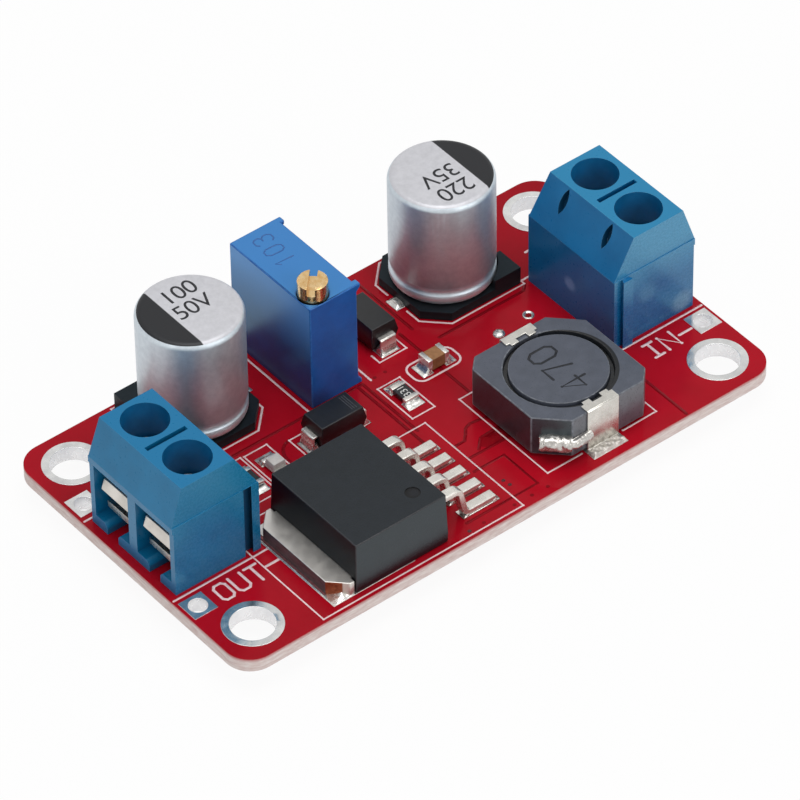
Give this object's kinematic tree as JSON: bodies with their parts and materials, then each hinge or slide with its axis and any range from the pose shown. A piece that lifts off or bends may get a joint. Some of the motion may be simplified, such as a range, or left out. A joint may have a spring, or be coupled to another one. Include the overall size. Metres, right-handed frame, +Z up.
{
  "type": "boost converter module",
  "caption": "Red circuit board that steps up a DC voltage, with blue screw terminals, trimmer, shielded inductor, regulator and electrolytic capacitors.",
  "frame": {"origin": "under the centre of the board, at the level of the solder pins' tips", "axes": "+X from the output terminal to the input terminal, +Y to the board edge with the capacitors, +Z up out of the component side"},
  "size_m": [0.051, 0.0284, 0.0146],
  "materials": {
    "board": "satin red mask over pale laminate",
    "tinned_copper": "dull tinned",
    "solder": "bright solder",
    "terminal_plastic": "satin blue",
    "contact_metal": "tin plated",
    "plate_metal": "satin plated",
    "screw_metal": "zinc plated",
    "trimmer_plastic": "satin blue",
    "trimmer_brass": "bright",
    "can_aluminium": "satin with printed black segment",
    "base_plastic": "matte black",
    "lead_metal": "tinned",
    "regulator_plastic": "matte slate",
    "ferrite": "matte grey",
    "winding_copper": "enamelled",
    "glue": "matte black",
    "diode_plastic": "matte black",
    "resistor_body": "satin black",
    "ceramic_body": "matte brown",
    "led_base": "matte white",
    "led_lens": "clear whitish"
  },
  "bodies": {
    "module": {"circuit_board": "board", "mounting_hole_plating": "tinned_copper", "wire_pads": "tinned_copper", "component_pads": "tinned_copper", "pin_solder": "solder", "output_terminal_housing": "terminal_plastic", "output_terminal_contacts": "contact_metal", "input_terminal_housing": "terminal_plastic", "input_terminal_contacts": "contact_metal", "trimmer_housing": "trimmer_plastic", "trimmer_pins": "lead_metal", "output_capacitor_can": "can_aluminium", "output_capacitor_base": "base_plastic", "output_capacitor_leads": "lead_metal", "input_capacitor_can": "can_aluminium", "input_capacitor_base": "base_plastic", "input_capacitor_leads": "lead_metal", "regulator_body": "regulator_plastic", "regulator_tab": "lead_metal", "regulator_leads": "lead_metal", "inductor_shield": "ferrite", "inductor_drum": "ferrite", "inductor_winding": "winding_copper", "inductor_glue": "glue", "inductor_clips": "lead_metal", "rectifier_diode_body": "diode_plastic", "rectifier_diode_leads": "lead_metal", "input_diode_body": "diode_plastic", "input_diode_leads": "lead_metal", "feedback_resistor_body": "resistor_body", "feedback_resistor_ends": "lead_metal", "led_resistor_body": "resistor_body", "led_resistor_ends": "lead_metal", "ceramic_capacitor_body": "ceramic_body", "ceramic_capacitor_ends": "lead_metal", "indicator_led_base": "led_base", "indicator_led_lens": "led_lens", "indicator_led_ends": "lead_metal"},
    "output_minus_plate": {"output_minus_plate": "plate_metal"},
    "output_minus_screw": {"output_minus_screw": "screw_metal"},
    "output_plus_plate": {"output_plus_plate": "plate_metal"},
    "output_plus_screw": {"output_plus_screw": "screw_metal"},
    "input_minus_plate": {"input_minus_plate": "plate_metal"},
    "input_minus_screw": {"input_minus_screw": "screw_metal"},
    "input_plus_plate": {"input_plus_plate": "plate_metal"},
    "input_plus_screw": {"input_plus_screw": "screw_metal"},
    "trimmer_screw": {"trimmer_screw": "trimmer_brass"}
  },
  "joints": [
    {"name": "output_minus_clamp_slide", "type": "slide", "parent": "module", "child": "output_minus_plate", "axis": [0, 0, 1], "range_m": [-0.001, 0]},
    {"name": "output_minus_screw_turn", "type": "hinge", "parent": "output_minus_plate", "child": "output_minus_screw", "pos_m": [-0.02138, -0.00254, 0.0091], "axis": [0, 0, 1], "range_deg": [-720, 0]},
    {"name": "output_plus_clamp_slide", "type": "slide", "parent": "module", "child": "output_plus_plate", "axis": [0, 0, 1], "range_m": [-0.001, 0]},
    {"name": "output_plus_screw_turn", "type": "hinge", "parent": "output_plus_plate", "child": "output_plus_screw", "pos_m": [-0.02138, 0.00254, 0.0091], "axis": [0, 0, 1], "range_deg": [-720, 0]},
    {"name": "input_minus_clamp_slide", "type": "slide", "parent": "module", "child": "input_minus_plate", "axis": [0, 0, 1], "range_m": [-0.001, 0]},
    {"name": "input_minus_screw_turn", "type": "hinge", "parent": "input_minus_plate", "child": "input_minus_screw", "pos_m": [0.02138, -0.00254, 0.0091], "axis": [0, 0, 1], "range_deg": [-720, 0]},
    {"name": "input_plus_clamp_slide", "type": "slide", "parent": "module", "child": "input_plus_plate", "axis": [0, 0, 1], "range_m": [-0.001, 0]},
    {"name": "input_plus_screw_turn", "type": "hinge", "parent": "input_plus_plate", "child": "input_plus_screw", "pos_m": [0.02138, 0.00254, 0.0091], "axis": [0, 0, 1], "range_deg": [-720, 0]},
    {"name": "trimmer_turn", "type": "hinge", "parent": "module", "child": "trimmer_screw", "pos_m": [-0.00342, 0.0056, 0.0131], "axis": [0, 0, 1], "continuous": true}
  ],
  "couplings": [
    {"joint": "output_minus_screw_turn", "follows": "output_minus_clamp_slide", "rad_per_m": 12566},
    {"joint": "output_plus_screw_turn", "follows": "output_plus_clamp_slide", "rad_per_m": 12566},
    {"joint": "input_minus_screw_turn", "follows": "input_minus_clamp_slide", "rad_per_m": 12566},
    {"joint": "input_plus_screw_turn", "follows": "input_plus_clamp_slide", "rad_per_m": 12566}
  ]
}
